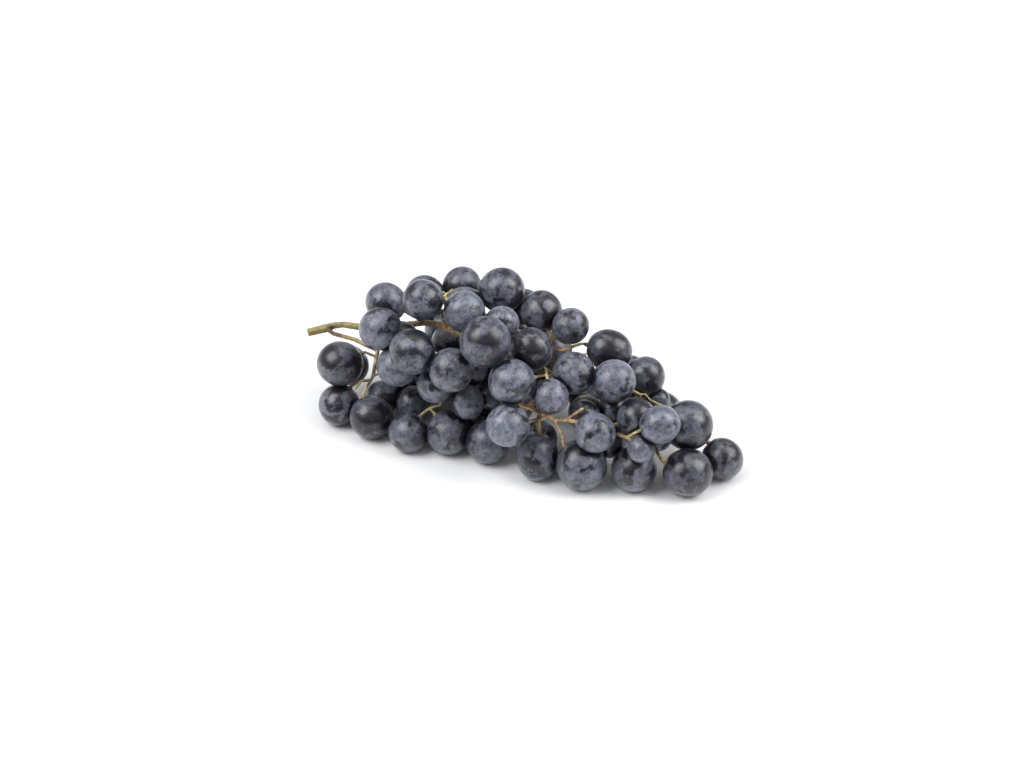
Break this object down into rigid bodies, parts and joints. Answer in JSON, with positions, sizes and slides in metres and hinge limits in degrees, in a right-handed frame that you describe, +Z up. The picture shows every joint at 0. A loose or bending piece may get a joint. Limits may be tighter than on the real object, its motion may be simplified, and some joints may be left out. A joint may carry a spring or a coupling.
{
  "type": "bunch of grapes",
  "caption": "Tapering bunch of round black table grapes with a waxy bloom, lying on its side, with its woody stem, laterals and stalks.",
  "frame": {"origin": "middle of the bunch's footprint box, on the plane that it lies on", "axes": "+X along the bunch towards its tip, away from the cut stem; +Z up, out of the surface that it lies on; +Y across, to the back of the bunch as the picture shows it"},
  "size_m": [0.2242, 0.1156, 0.0817],
  "materials": {
    "grape_skin": "near-black blue skin under a mottled grey-blue waxy bloom, glossier where it is rubbed off",
    "stem": "tan to olive, knobbly at the forks, matte"
  },
  "bodies": {
    "root": {"stem": "stem", "berries_crown": "grape_skin", "berries_lower_back": "grape_skin", "berries_lower_face": "grape_skin", "berries_lower_face_2": "grape_skin", "berries_lower_front": "grape_skin", "berries_lower_top": "grape_skin", "berries_lower_top_2": "grape_skin", "berries_middle_back": "grape_skin", "berries_middle_face": "grape_skin", "berries_middle_front": "grape_skin", "berries_shoulder_back": "grape_skin", "berries_shoulder_front": "grape_skin", "berries_tip": "grape_skin", "berries_tip_2": "grape_skin", "berries_top": "grape_skin", "berries_top_2": "grape_skin", "berries_top_3": "grape_skin", "berries_wing": "grape_skin"}
  },
  "joints": []
}
